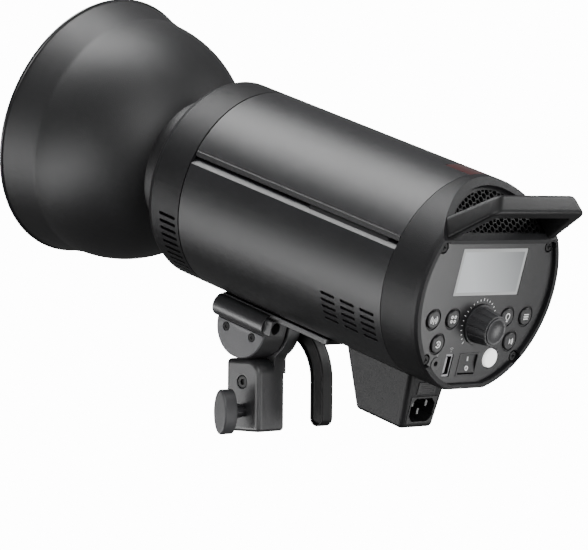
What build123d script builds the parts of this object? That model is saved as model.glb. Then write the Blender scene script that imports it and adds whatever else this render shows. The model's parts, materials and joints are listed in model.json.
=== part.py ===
from build123d import *
from math import cos, radians, sin, sqrt
import os

# Monolight strobe on its tilting stand bracket.
# Millimetres, +Z up.  The reflector points to -Y, the control panel to +Y, and the operator's
# left side is +X.  The origin is the centre of the stand socket's mouth.
#
# Head pieces are drawn level in a frame of their own, whose Y axis is the barrel's axis and whose
# origin is the centre of the rear rim.  HEAD_POSE then tilts them up on the bracket's hinge.

# ---------------------------------------------------------------- driving dimensions
HEAD_TILT = 17.0            # reflector up, degrees
PIVOT_Y = 4.7               # hinge axis behind the socket's axis
PIVOT_Z = 73.5              # hinge axis above the socket's mouth
PIVOT_TO_AXIS = 86.2        # hinge axis to barrel axis
PIVOT_TO_REAR = 184.3       # hinge axis to rear rim, along the barrel

SOCKET_R = 8.1              # for a 5/8 inch (15.9 mm) stand spigot
SOCKET_DEPTH = 38.0
BLOCK_X = 28.0
BLOCK_Y = 31.0
BLOCK_TOP = 50.5
EAR_NEAR_X = -2.5
EAR_R = 24.0
EAR_TOP_R = 12.6
BOLT_R = 3.92
BOLT_BORE_R = 4.0
LOCK_Z = 14.5
LOCK_THREAD_R = 3.95
RETAINER_Z = 34.5
RETAINER_SINK = 3.4         # depth of its head's seat

HUB_R = 22.2
HUB_NEAR_X = 19.5
HUB_FAR_X = -1.0
COVER_T = 2.0
PLATE_X = 21.0
PLATE_FRONT = -208.3
PLATE_REAR = -106.0
PLATE_BOTTOM = -73.0
PLATE_TOP = -69.4
TUBE_X = 19.5
TUBE_Z = -78.1
TUBE_R = 8.0
TUBE_REAR = -160.1
STEP_L = 6.0               # square end behind the umbrella tube
UMBRELLA_R = 4.25           # for an 8 mm umbrella shaft

BARREL_R = 71.0
BARREL_WALL = 1.8
BARREL_FRONT = -220.2
BARREL_REAR = -31.6
COLLAR_FRONT = -255.0
RIM_R = 69.5
SLANT_Z = 35.5              # height at which the rear face starts to slope forward
SLANT_ANGLE = 36.0
PANEL_LEDGE = -4.6
PANEL_FACE = -2.6
PANEL_R = 66.0
PANEL_TOP = 32.8
DISPLAY_Z = 12.65
DISPLAY_W = 67.4
DISPLAY_H = 32.1
PANEL_BOTTOM = -64.0

BUTTON_R = 5.9
DIAL_Z = -23.2
ROCKER_X = 1.0
ROCKER_Z = -51.2
ROCKER_PIVOT_Y = -7.5
ROCKER_TILT = 7.0
TEST_BUTTON = (-21.3, -47.4)
TEST_R = 6.3
USB_X = 21.4
USB_Z = -51.3
JACK_X = 34.7
JACK_Z = -49.5
JACK_R = 1.8
JACK_FLANGE_R = 4.5

INLET_REAR = -31.0
INLET_BOTTOM = -106.5
NECK_R = 49.4
REFLECTOR_MOUTH = -377.1
REFLECTOR_R = 93.8
REFLECTOR_WALL = 1.3
FAN_Y = -56.0
FAN_Z = -4.0

BUTTONS = {
    "wireless_button": (48.2, -19.0),
    "group_button": (28.4, -19.0),
    "slave_button": (38.0, -36.0),
    "lamp_button": (-28.4, -19.0),
    "function_button": (-48.2, -19.0),
    "sound_button": (-37.5, -36.0),
}
PANEL_SCREWS = ((55.0, 29.8), (-55.0, 29.8), (45.8, -46.8), (-45.8, -46.8))

LEVEL = Location()
HEAD_POSE = (
    Location((0, PIVOT_Y, PIVOT_Z))
    * Location((0, 0, 0), (-HEAD_TILT, 0, 0))
    * Location((0, PIVOT_TO_REAR, PIVOT_TO_AXIS))
)
SLANT_COS = cos(radians(SLANT_ANGLE))
SLANT_SIN = sin(radians(SLANT_ANGLE))

os.makedirs("parts", exist_ok=True)


def finish(piece, label, pose=LEVEL):
    """Put one finished piece in its place and write it."""
    solid = piece.part.moved(pose)
    solid.label = label
    export_step(solid, f"parts/{label}.step")


def across(y):
    """Plane square to the barrel at y: local x is +X, local y is +Z, normal to the front."""
    return Plane.XZ.offset(-y)


def radial(angle, radius):
    """Plane facing out of the barrel at an angle from +X: local x runs along the barrel."""
    out = (cos(radians(angle)), 0, sin(radians(angle)))
    return Plane(origin=Vector(*out) * radius, x_dir=(0, 1, 0), z_dir=out)


def slant(depth=0.0):
    """Sloping rear face under the handle, or a plane that deep behind it: local y is up it."""
    out = Vector(0, SLANT_COS, SLANT_SIN)
    return Plane(origin=Vector(0, 0, SLANT_Z) - out * depth, x_dir=(-1, 0, 0), z_dir=out)


def circle_point(centre, radius, angle):
    """Point on a circle in a sketch."""
    return (centre[0] + radius * cos(radians(angle)), centre[1] + radius * sin(radians(angle)))


# ---------------------------------------------------------------- stand bracket
PIVOT = (PIVOT_Y, PIVOT_Z)
REAR_FACE = BLOCK_Y / 2
ear_foot_drop = sqrt(EAR_R**2 - (REAR_FACE - PIVOT_Y) ** 2)

with BuildPart() as stand_bracket:
    with BuildSketch(Plane.XY) as block_outline:
        Rectangle(BLOCK_X, BLOCK_Y)
    extrude(amount=BLOCK_TOP)
    block_top = stand_bracket.edges().filter_by(Axis.X).group_by(Axis.Z)[-1]
    fillet(block_top.sort_by(Axis.Y)[-1], 10.0)
    fillet(stand_bracket.edges().filter_by(Axis.X).group_by(Axis.Z)[-1].sort_by(Axis.Y)[0], 3.0)
    fillet(stand_bracket.edges().filter_by(Axis.Z), 3.6)
    with BuildSketch(Plane.YZ.offset(-BLOCK_X / 2)) as ear_profile:
        with BuildLine():
            foot = (REAR_FACE, PIVOT_Z - ear_foot_drop)
            heel = circle_point(PIVOT, EAR_R, -3.6)
            crown_rear = circle_point(PIVOT, EAR_TOP_R, 45)
            crown_front = circle_point(PIVOT, EAR_TOP_R, 140)
            ThreePointArc(foot, circle_point(PIVOT, EAR_R, -33), heel)
            Line(heel, crown_rear)
            ThreePointArc(crown_rear, circle_point(PIVOT, EAR_TOP_R, 92), crown_front)
            Polyline(crown_front, (-REAR_FACE, 64), (-REAR_FACE, 40), (REAR_FACE, 40), foot)
        make_face()
        foot_corner = ear_profile.vertices().sort_by(SortBy.DISTANCE)
        fillet([v for v in foot_corner if abs(v.X - foot[0]) < 0.01 and abs(v.Y - foot[1]) < 0.01], 5.0)
    extrude(amount=BLOCK_X / 2 + EAR_NEAR_X)
    fillet(stand_bracket.faces().sort_by(Axis.Z)[0].edges(), 2.8)
    with Locations(Location((0, 0, 0), (180, 0, 0))):
        Hole(SOCKET_R, SOCKET_DEPTH)
    with Locations(Plane.YZ.offset(BLOCK_X / 2)):
        with Locations((0, LOCK_Z)):
            Hole(LOCK_THREAD_R + 0.05, BLOCK_X / 2)
        with Locations((0, RETAINER_Z)):
            CounterBoreHole(2.5, 4.75, 3.6, BLOCK_X / 2)
    with Locations(Plane.YZ.offset(-BLOCK_X / 2)):
        with Locations(PIVOT):
            Hole(BOLT_BORE_R, BLOCK_X)
finish(stand_bracket, "stand_bracket")


def socket_head(plane, places, head_r, head_h, shank_r, shank_l, key_r):
    """Socket-head screws on a plane: heads stand out of it, shanks go in."""
    with BuildPart() as screws:
        with BuildSketch(plane):
            with Locations(*places):
                Circle(head_r)
        extrude(amount=head_h)
        chamfer(screws.faces().group_by(SortBy.AREA)[-1].edges(), 0.08 * head_r)
        with BuildSketch(plane):
            with Locations(*places):
                Circle(shank_r)
        extrude(amount=-shank_l)
        with BuildSketch(plane.offset(head_h)):
            with Locations(*places):
                RegularPolygon(key_r, 6)
        extrude(amount=-0.6 * head_h, mode=Mode.SUBTRACT)
    return screws


retainer_seat = Plane.YZ.offset(BLOCK_X / 2 - RETAINER_SINK)
retainer = socket_head(retainer_seat, [(0, RETAINER_Z)], 4.3, 2.9, 2.45, 1.9, 2.2)
finish(retainer, "socket_screw")

with BuildPart() as friction_disc:
    with BuildSketch(Plane.YZ.offset(EAR_NEAR_X)):
        with Locations(PIVOT):
            Circle(12.0)
            Circle(BOLT_BORE_R + 0.3, mode=Mode.SUBTRACT)
    extrude(amount=1.2)
finish(friction_disc, "friction_disc")

LEVER_NEAR_X = -17.5
LEVER_T = 11.0
with BuildPart() as lever_washer:
    with BuildSketch(Plane.YZ.offset(-BLOCK_X / 2)):
        with Locations(PIVOT):
            Circle(10.0)
            Circle(BOLT_BORE_R + 0.3, mode=Mode.SUBTRACT)
    extrude(amount=LEVER_NEAR_X + 0.3 + BLOCK_X / 2)
finish(lever_washer, "lever_washer")

BOLT_END_X = 12.0
with BuildPart() as tilt_bolt:
    with BuildSketch(Plane.YZ.offset(BOLT_END_X)):
        with Locations(PIVOT):
            Circle(BOLT_R)
    extrude(amount=LEVER_NEAR_X - LEVER_T - 2.0 - BOLT_END_X)
    chamfer(tilt_bolt.faces().sort_by(Axis.X)[-1].edges(), 0.6)
finish(tilt_bolt, "tilt_bolt")

# ---------------------------------------------------------------- stand lock
PAD_TIP_X = 8.5
PAD_T = 1.6
KNOB_INNER_X = 24.4
KNOB_T = 12.3
with BuildPart() as lock_pad:
    with BuildSketch(Plane.YZ.offset(PAD_TIP_X)):
        with Locations((0, LOCK_Z)):
            Circle(3.4)
    extrude(amount=PAD_T)
    chamfer(lock_pad.faces().sort_by(Axis.X)[0].edges(), 0.4)
finish(lock_pad, "lock_pad")

with BuildPart() as lock_screw:
    with BuildSketch(Plane.YZ.offset(PAD_TIP_X + PAD_T)):
        with Locations((0, LOCK_Z)):
            Circle(LOCK_THREAD_R)
    extrude(amount=KNOB_INNER_X + 6 - PAD_TIP_X - PAD_T)
    with BuildSketch(Plane.YZ.offset(16.6)):
        with Locations((0, LOCK_Z)):
            Circle(4.9)
            with PolarLocations(4.9, 14):
                Circle(0.45, mode=Mode.SUBTRACT)
    extrude(amount=KNOB_INNER_X - 16.6)
finish(lock_screw, "lock_screw")

with BuildPart() as lock_knob:
    with BuildSketch(Plane.YZ.offset(KNOB_INNER_X)):
        with Locations((0, LOCK_Z)):
            Ellipse(6.2, 15.6)
    extrude(amount=KNOB_T)
    fillet(lock_knob.faces().sort_by(Axis.X)[-1].edges(), 1.6)
    fillet(lock_knob.faces().sort_by(Axis.X)[0].edges(), 1.0)
    with BuildSketch(Plane.YZ.offset(KNOB_INNER_X)):
        with Locations((0, LOCK_Z)):
            Circle(LOCK_THREAD_R)
    extrude(amount=6, mode=Mode.SUBTRACT)
finish(lock_knob, "lock_knob")

# ---------------------------------------------------------------- tilt lever
LEVER_ARC = (0.7, 36.0)         # centre of the lever's bend
LEVER_IN_R = 34.0
LEVER_OUT_R = 46.0
LEVER_BOTTOM = 4.2


def lever_outline(inset, top):
    """Closed outline of the lever, from its hub round the bend to its rounded tip, drawn inset."""
    inner = LEVER_IN_R + inset
    outer = LEVER_OUT_R - inset
    tip_r = (outer - inner) / 2
    tip_z = LEVER_BOTTOM + inset + tip_r
    cx, cz = LEVER_ARC
    with BuildLine() as outline:
        inner_top = circle_point(LEVER_ARC, inner, top)
        outer_top = circle_point(LEVER_ARC, outer, top)
        ThreePointArc(inner_top, circle_point(LEVER_ARC, inner, 40), (cx + inner, cz))
        Line((cx + inner, cz), (cx + inner, tip_z))
        ThreePointArc((cx + inner, tip_z), (cx + inner + tip_r, tip_z - tip_r), (cx + outer, tip_z))
        Line((cx + outer, tip_z), (cx + outer, cz))
        ThreePointArc((cx + outer, cz), circle_point(LEVER_ARC, outer, 40), outer_top)
        Line(outer_top, inner_top)
    return outline.line


with BuildPart() as tilt_lever:
    with BuildSketch(Plane.YZ.offset(LEVER_NEAR_X)):
        add(lever_outline(0, 84))
        make_face()
        with Locations(PIVOT):
            Circle(12.6)
    extrude(amount=-LEVER_T)
    with BuildSketch(Plane.YZ.offset(LEVER_NEAR_X)):
        with Locations(PIVOT):
            Circle(BOLT_BORE_R)
    extrude(amount=-LEVER_T, mode=Mode.SUBTRACT)
    with BuildSketch(Plane.YZ.offset(LEVER_NEAR_X)):
        add(lever_outline(1.7, 66))
        make_face()
    extrude(amount=-2.2, mode=Mode.SUBTRACT)
finish(tilt_lever, "tilt_lever")

with BuildPart() as lever_cap:
    with BuildSketch(Plane.YZ.offset(LEVER_NEAR_X - LEVER_T)):
        with Locations(PIVOT):
            Circle(9.0)
            Circle(BOLT_BORE_R, mode=Mode.SUBTRACT)
    extrude(amount=-3.0)
    with BuildSketch(Plane.YZ.offset(LEVER_NEAR_X - LEVER_T - 3.0)):
        with Locations(PIVOT):
            Circle(9.0)
    extrude(amount=-1.6)
    chamfer(lever_cap.faces().sort_by(Axis.X)[0].edges(), 1.0)
finish(lever_cap, "lever_cap")

# ---------------------------------------------------------------- tilting half of the hinge
HINGE_Y = -PIVOT_TO_REAR
HINGE_Z = -PIVOT_TO_AXIS
HINGE = (HINGE_Y, HINGE_Z)
COVER_SCREWS = [(HINGE_Y + side * 12.4, HINGE_Z - 4.3) for side in (-1, 1)]
COVER_SINK = 1.2
BRACKET_SCREWS = [(x, y) for x in (-14.0, 14.0) for y in (-143.0, -114.0)]


def lower_half_disc():
    """The hinge's half-round cheek, flat side up."""
    with Locations(HINGE):
        Circle(HUB_R)
        with Locations((0, HUB_R)):
            Rectangle(3 * HUB_R, 2 * HUB_R, mode=Mode.SUBTRACT)


with BuildPart() as tilt_bracket:
    with BuildSketch(Plane.XY.offset(PLATE_BOTTOM)):
        with Locations((0, (PLATE_FRONT + PLATE_REAR) / 2)):
            RectangleRounded(2 * PLATE_X, PLATE_REAR - PLATE_FRONT, 3)
    extrude(amount=PLATE_TOP - PLATE_BOTTOM)
    with BuildSketch(Plane.YZ.offset(HUB_FAR_X)):
        lower_half_disc()
        with Locations((HINGE_Y, (HINGE_Z + PLATE_BOTTOM) / 2 + 0.25)):
            Rectangle(2 * HUB_R, PLATE_BOTTOM - HINGE_Z + 0.5)
    extrude(amount=HUB_NEAR_X - HUB_FAR_X)
    with BuildSketch(across(TUBE_REAR)):
        with Locations((TUBE_X, TUBE_Z)):
            Circle(TUBE_R)
    extrude(amount=TUBE_REAR - PLATE_FRONT)
    with BuildSketch(across(TUBE_REAR + STEP_L)):
        with Locations((TUBE_X - 1.6, TUBE_Z)):
            RectangleRounded(13.4, 11.0, 1.2)
    extrude(amount=STEP_L + 2.0)
    with BuildSketch(across(TUBE_REAR + STEP_L)):
        with Locations((TUBE_X, TUBE_Z)):
            Circle(UMBRELLA_R)
    extrude(amount=STEP_L, mode=Mode.SUBTRACT)
    with BuildSketch(across(TUBE_REAR)):
        with Locations((TUBE_X, TUBE_Z)):
            Circle(UMBRELLA_R)
    extrude(amount=TUBE_REAR - PLATE_FRONT, mode=Mode.SUBTRACT)
    with BuildSketch(across(PLATE_REAR + 1)):
        Circle(BARREL_R + 0.05)
    extrude(amount=PLATE_REAR - PLATE_FRONT + 2, mode=Mode.SUBTRACT)
    with BuildSketch(Plane.YZ.offset(HUB_FAR_X)):
        with Locations(HINGE):
            Circle(BOLT_BORE_R)
    extrude(amount=BOLT_END_X + 0.3 - HUB_FAR_X, mode=Mode.SUBTRACT)
    with BuildSketch(Plane.XY.offset(PLATE_BOTTOM)):
        with Locations(*BRACKET_SCREWS):
            Circle(2.1)
    extrude(amount=6, mode=Mode.SUBTRACT)
    with BuildSketch(Plane.YZ.offset(HUB_NEAR_X)):
        with Locations(*COVER_SCREWS):
            Circle(1.5)
    extrude(amount=-6, mode=Mode.SUBTRACT)
finish(tilt_bracket, "tilt_bracket", HEAD_POSE)

with BuildPart() as hinge_cover:
    with BuildSketch(Plane.YZ.offset(HUB_NEAR_X)):
        lower_half_disc()
    extrude(amount=COVER_T)
    chamfer(hinge_cover.faces().sort_by(Axis.X)[-1].edges(), 0.5)
    with Locations(Plane.YZ.offset(HUB_NEAR_X + COVER_T)):
        with Locations(*COVER_SCREWS):
            CounterBoreHole(1.6, 3.2, COVER_SINK, COVER_T)
finish(hinge_cover, "hinge_cover", HEAD_POSE)

cover_seat = Plane.YZ.offset(HUB_NEAR_X + COVER_T - COVER_SINK)
cover_screws = socket_head(cover_seat, COVER_SCREWS, 2.8, 1.1, 1.45, 5.0, 1.4)
finish(cover_screws, "cover_screws", HEAD_POSE)

bracket_screws = socket_head(Plane.XY.offset(PLATE_BOTTOM), [(x, -y) for x, y in BRACKET_SCREWS],
                             3.6, 2.0, 2.0, 8.0, 1.6)
bracket_screws.part = bracket_screws.part.rotate(Axis((0, 0, PLATE_BOTTOM), (1, 0, 0)), 180)
finish(bracket_screws, "bracket_screws", HEAD_POSE)

# ---------------------------------------------------------------- barrel and its rails
RAIL_TOP = 28.8
RAIL_BOTTOM = 19.5
RAIL_FLOOR_X = 61.6
RAIL_BLOCKS = ((65.4, 24.1), (-65.4, 24.1))
VENT_PITCH = 4.25           # degrees between vent rows
VENT_ROWS = [-22.7 - VENT_PITCH * row for row in range(5)]
VENT_COLUMNS = [-79.3 + 17.7 * column for column in range(3)]
WINDOW_X = 10.0
WINDOW_FRONT = -53.5

with BuildPart() as barrel_shell:
    with BuildSketch(across(BARREL_REAR)) as barrel_section:
        Circle(BARREL_R)
        Circle(BARREL_R - BARREL_WALL, mode=Mode.SUBTRACT)
        with Locations(*RAIL_BLOCKS):
            Rectangle(11.5, 13.4)
        Circle(BARREL_R, mode=Mode.INTERSECT)
        for side in (1, -1):
            with BuildLine():
                Polyline(
                    (side * 72, RAIL_TOP), (side * RAIL_FLOOR_X, RAIL_TOP), (side * RAIL_FLOOR_X, 23.4),
                    (side * 64.0, 22.6), (side * 68.3, RAIL_BOTTOM), (side * 72, RAIL_BOTTOM), close=True,
                )
            make_face(mode=Mode.SUBTRACT)
    extrude(amount=BARREL_REAR - BARREL_FRONT)
    for row in VENT_ROWS:
        for angle in (row, 180 - row):
            with BuildSketch(radial(angle, BARREL_R - 4)):
                with Locations(*[(column, 0) for column in VENT_COLUMNS]):
                    SlotOverall(12.8, 2.3)
            extrude(amount=6, mode=Mode.SUBTRACT)
    with BuildSketch(Plane.XY.offset(60)):
        with Locations((0, (WINDOW_FRONT + BARREL_REAR) / 2 + 0.5)):
            Rectangle(2 * WINDOW_X, BARREL_REAR - WINDOW_FRONT + 1)
    extrude(amount=20, mode=Mode.SUBTRACT)
    with BuildSketch(Plane.XY.offset(-75)):
        with Locations(*BRACKET_SCREWS):
            Circle(2.1)
    extrude(amount=15, mode=Mode.SUBTRACT)
finish(barrel_shell, "barrel_shell", HEAD_POSE)

for name, side in (("rail_left", 1), ("rail_right", -1)):
    with BuildPart() as rail:
        with BuildSketch(across(BARREL_REAR - 0.2)):
            with BuildLine():
                Polyline(
                    (side * (RAIL_FLOOR_X + 0.05), 24.3), (side * (RAIL_FLOOR_X + 0.05), 28.6),
                    (side * 64.7, 28.6), (side * 65.3, 27.9),
                    (side * 65.3, 25.0), (side * 64.6, 24.3), close=True,
                )
            make_face()
        extrude(amount=BARREL_REAR - BARREL_FRONT - 0.4)
    finish(rail, name, HEAD_POSE)

with BuildPart() as sensor_window:
    with BuildSketch(across(BARREL_REAR - 0.1)):
        Circle(BARREL_R - 0.15)
        Circle(BARREL_R - 3.2, mode=Mode.SUBTRACT)
        with Locations((0, BARREL_R)):
            Rectangle(2 * WINDOW_X - 0.3, 20, mode=Mode.INTERSECT)
    extrude(amount=BARREL_REAR - WINDOW_FRONT - 0.2)
finish(sensor_window, "sensor_window", HEAD_POSE)

# ---------------------------------------------------------------- front collar
COLLAR_SLOTS = [-17.6 - 4.5 * row for row in range(10)]
with BuildPart() as front_collar:
    with BuildSketch(Plane.XY):
        with BuildLine():
            Polyline(
                (BARREL_R - BARREL_WALL - 0.1, -212), (BARREL_R - BARREL_WALL - 0.1, BARREL_FRONT - 1.0),
                (BARREL_R, BARREL_FRONT - 1.0), (BARREL_R, -247.5), (69.4, -251.2), (65.5, COLLAR_FRONT),
                (60.2, COLLAR_FRONT), (60.2, -247), (68.0, -244), (68.0, -222), (67.4, -212), close=True,
            )
        make_face()
    revolve(axis=Axis.Y)
    with BuildSketch(across(-210)):
        with Locations(*RAIL_BLOCKS):
            Rectangle(12.6, 14.4)
    extrude(amount=11.1, mode=Mode.SUBTRACT)
    for row in COLLAR_SLOTS:
        for angle in (row, 180 - row):
            with BuildSketch(radial(angle, BARREL_R - 5)):
                with Locations((-231.6, 0)):
                    SlotOverall(15.6, 2.4)
            extrude(amount=7, mode=Mode.SUBTRACT)
    with BuildSketch(radial(180, BARREL_R - 5)):
        with Locations((-233.8, 0)):
            SlotOverall(18.6, 8.4)
    extrude(amount=7, mode=Mode.SUBTRACT)
finish(front_collar, "front_collar", HEAD_POSE)

LATCH_Y = -231.5
with BuildPart() as release_latch:
    with BuildSketch(radial(180, BARREL_R - 5.4)):
        with Locations((LATCH_Y, 0)):
            SlotOverall(17.0, 11.0)
    extrude(amount=1.6)
    with BuildSketch(radial(180, BARREL_R - 3.8)):
        with Locations((LATCH_Y, 0)):
            SlotOverall(13.0, 7.8)
    extrude(amount=5.6)
    with BuildSketch(radial(180, BARREL_R + 1.8)):
        with Locations(*[(LATCH_Y + 3.0 * rib, 0) for rib in (-1, 0, 1)]):
            Rectangle(1.2, 9)
    extrude(amount=-0.8, mode=Mode.SUBTRACT)
finish(release_latch, "release_latch", HEAD_POSE)

# ---------------------------------------------------------------- rear collar, grille and handle
GRILLE_R = 66.0
SLANT_CENTRE = -SLANT_Z / SLANT_COS        # where the barrel's axis meets the sloping face


def slanted_opening(radius, lowest):
    """The part of the sloping face that lies inside a radius of the barrel, above a chord."""
    with Locations((0, SLANT_CENTRE)):
        Ellipse(radius, radius / SLANT_COS)
    with Locations((0, lowest + 100)):
        Rectangle(300, 200, mode=Mode.INTERSECT)


with BuildPart() as collar_cavity:
    with BuildSketch(across(-8.0)):
        Circle(67.2)
    extrude(amount=30)
    with BuildSketch(slant(6.0)):
        with Locations((0, 60)):
            Rectangle(200, 150)
    extrude(amount=60, mode=Mode.SUBTRACT)

with BuildPart() as rear_collar:
    with BuildSketch(Plane.XY):
        with BuildLine():
            Polyline((0, BARREL_REAR + 0.4), (BARREL_R, BARREL_REAR + 0.4), (BARREL_R, -5.0), (70.7, -2.0),
                     (RIM_R, 0), (0, 0), close=True)
        make_face()
    revolve(axis=Axis.Y)
    with BuildSketch(across(BARREL_REAR + 0.5)):
        Circle(BARREL_R - BARREL_WALL - 0.1)
        Circle(67.4, mode=Mode.SUBTRACT)
    extrude(amount=8)
    with BuildSketch(across(BARREL_REAR + 0.3)):
        with Locations(*RAIL_BLOCKS):
            Rectangle(12.6, 14.4)
        with Locations((0, 68)):
            Rectangle(2 * WINDOW_X + 1, 8)
    extrude(amount=10, mode=Mode.SUBTRACT)
    add(collar_cavity.part, mode=Mode.SUBTRACT)
    with BuildSketch(slant()):
        with Locations((0, 60)):
            Rectangle(200, 120)
    extrude(amount=60, mode=Mode.SUBTRACT)
    with BuildSketch(Plane.YZ.offset(-40)):
        with BuildLine():
            Polyline((1, -67.2), (0, -67.2), (-16, -BARREL_R), (-16, -80), (1, -80), close=True)
        make_face()
    extrude(amount=80, mode=Mode.SUBTRACT)
    with BuildSketch(slant()):
        slanted_opening(GRILLE_R + 0.1, 4.2)
    extrude(amount=-14, mode=Mode.SUBTRACT)
    with BuildSketch(across(0)):
        Circle(PANEL_R + 0.15)
        with Locations((0, (PANEL_TOP + PANEL_BOTTOM) / 2)):
            Rectangle(200, PANEL_TOP - PANEL_BOTTOM + 0.3, mode=Mode.INTERSECT)
        with Locations(*PANEL_SCREWS):
            Circle(4.3)
    extrude(amount=-PANEL_LEDGE, mode=Mode.SUBTRACT)
    with BuildSketch(across(0)):
        Circle(59.5)
        with Locations((0, -14)):
            Rectangle(200, 88, mode=Mode.INTERSECT)
        with Locations((ROCKER_X, ROCKER_Z)):
            Rectangle(20.8, 16.6)
        with Locations((USB_X, USB_Z)):
            Rectangle(8.0, 16.2)
        with Locations((JACK_X, JACK_Z)):
            Circle(3.5)
    extrude(amount=14, mode=Mode.SUBTRACT)
    with BuildSketch(across(0)):
        with Locations(*PANEL_SCREWS):
            Circle(1.6)
    extrude(amount=14, mode=Mode.SUBTRACT)
finish(rear_collar, "rear_collar", HEAD_POSE)

with BuildPart() as vent_grille:
    with BuildSketch(slant(4.6)):
        slanted_opening(GRILLE_R, 4.3)
    extrude(amount=1.8)
    with BuildSketch(slant(4.6)):
        with Locations((0, 21)):
            with HexLocations(2.3, 29, 11):
                RegularPolygon(1.95, 6, major_radius=False)
        with BuildSketch(slant(4.6), mode=Mode.INTERSECT):
            slanted_opening(GRILLE_R - 1.7, 6.0)
    extrude(amount=1.8, mode=Mode.SUBTRACT)
finish(vent_grille, "vent_grille", HEAD_POSE)

HANDLE_REACH = 37.0
HANDLE_BAR = 8.6


with BuildPart() as carry_handle:
    for height, rise, root_x, corner_x in ((1.2, 8.0, 57.4, 48.5), (16.6, 4.0, 51.6, 41.6)):
        up = Vector(0, -SLANT_SIN, SLANT_COS)
        lean = Vector(0, -sin(radians(SLANT_ANGLE + rise)), cos(radians(SLANT_ANGLE + rise)))
        level = Plane(origin=Vector(0, 0, SLANT_Z) + up * height, x_dir=(1, 0, 0), z_dir=lean)
        with BuildSketch(level) as handle_section:
            inner_root = root_x - HANDLE_BAR
            inner_corner = corner_x - HANDLE_BAR
            inner_reach = HANDLE_REACH - HANDLE_BAR
            with BuildLine():
                Polyline((root_x, 0), (corner_x, HANDLE_REACH), (-corner_x, HANDLE_REACH), (-root_x, 0),
                         (-inner_root, 0), (-inner_corner, inner_reach), (inner_corner, inner_reach),
                         (inner_root, 0), close=True)
            make_face()
            fillet([v for v in handle_section.vertices() if abs(v.Y - HANDLE_REACH) < 0.01], 9.0)
            fillet([v for v in handle_section.vertices() if abs(v.Y - inner_reach) < 0.01], 5.0)
    loft()
finish(carry_handle, "carry_handle", HEAD_POSE)

# ---------------------------------------------------------------- control panel
BOARD_Y = -10.4
with BuildPart() as control_panel:
    with BuildSketch(across(PANEL_FACE)):
        Circle(PANEL_R)
        with Locations((0, (PANEL_TOP + PANEL_BOTTOM) / 2)):
            Rectangle(200, PANEL_TOP - PANEL_BOTTOM, mode=Mode.INTERSECT)
        with Locations(*PANEL_SCREWS):
            Circle(4.2, mode=Mode.SUBTRACT)
        with Locations((0, DISPLAY_Z)):
            Rectangle(DISPLAY_W + 0.2, DISPLAY_H + 0.2, mode=Mode.SUBTRACT)
        with Locations(*BUTTONS.values()):
            Circle(BUTTON_R + 0.3, mode=Mode.SUBTRACT)
        with Locations(TEST_BUTTON):
            Circle(TEST_R + 0.3, mode=Mode.SUBTRACT)
        with Locations((0, DIAL_Z)):
            Circle(4.2, mode=Mode.SUBTRACT)
        with Locations((ROCKER_X, ROCKER_Z)):
            Rectangle(20.4, 16.2, mode=Mode.SUBTRACT)
        with Locations((USB_X, USB_Z)):
            Rectangle(7.6, 15.8, mode=Mode.SUBTRACT)
        with Locations((JACK_X, JACK_Z)):
            Circle(JACK_FLANGE_R + 0.1, mode=Mode.SUBTRACT)
    extrude(amount=PANEL_FACE - PANEL_LEDGE)
    with BuildSketch(across(PANEL_FACE)):
        with Locations(*BUTTONS.values()):
            Circle(BUTTON_R + 1.6)
        with Locations(TEST_BUTTON):
            Circle(TEST_R + 1.2)
    extrude(amount=0.7, mode=Mode.SUBTRACT)
    with BuildSketch(across(PANEL_FACE)):
        with Locations((0, DIAL_Z)):
            Circle(14.2)
    extrude(amount=1.1, mode=Mode.SUBTRACT)
finish(control_panel, "control_panel", HEAD_POSE)

with BuildPart() as panel_screws:
    with BuildSketch(across(PANEL_LEDGE)):
        with Locations(*PANEL_SCREWS):
            Circle(3.1)
    extrude(amount=-1.9)
    with BuildSketch(across(PANEL_LEDGE + 1.9)):
        with Locations(*PANEL_SCREWS):
            Rectangle(3.6, 0.8)
            Rectangle(0.8, 3.6)
    extrude(amount=1.0, mode=Mode.SUBTRACT)
    with BuildSketch(across(PANEL_LEDGE)):
        with Locations(*PANEL_SCREWS):
            Circle(1.55)
    extrude(amount=6.0)
finish(panel_screws, "panel_screws", HEAD_POSE)

with BuildPart() as display_lens:
    with BuildSketch(across(-3.0)):
        with Locations((0, DISPLAY_Z)):
            RectangleRounded(DISPLAY_W, DISPLAY_H, 0.8)
    extrude(amount=1.6)
finish(display_lens, "display_lens", HEAD_POSE)

with BuildPart() as display_module:
    with BuildSketch(across(-4.7)):
        with Locations((0, DISPLAY_Z - 0.45)):
            Rectangle(DISPLAY_W + 3.6, DISPLAY_H + 2.9)
    extrude(amount=-4.7 - BOARD_Y)
finish(display_module, "display_module", HEAD_POSE)

with BuildPart() as control_board:
    with BuildSketch(across(BOARD_Y)):
        Circle(58.0)
        with Locations((0, -14)):
            Rectangle(200, 85, mode=Mode.INTERSECT)
    extrude(amount=1.6)
finish(control_board, "control_board", HEAD_POSE)


def round_button(centre, radius, name, tip_y):
    """Push button: cap in the panel, flange behind it and a short stem over its switch."""
    with BuildPart() as button:
        with BuildSketch(across(tip_y)):
            with Locations(centre):
                Circle(radius)
        extrude(amount=tip_y - PANEL_LEDGE + 0.1)
        chamfer(button.faces().sort_by(Axis.Y)[-1].edges(), 0.5)
        with BuildSketch(across(PANEL_LEDGE - 0.1)):
            with Locations(centre):
                Circle(radius + 1.0)
        extrude(amount=1.2)
        with BuildSketch(across(PANEL_LEDGE - 1.3)):
            with Locations(centre):
                Circle(1.7)
        extrude(amount=0.9)
    finish(button, name, HEAD_POSE)


for button_name, button_centre in BUTTONS.items():
    round_button(button_centre, BUTTON_R, button_name, -1.7)
round_button(TEST_BUTTON, TEST_R, "test_button", -1.2)

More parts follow.
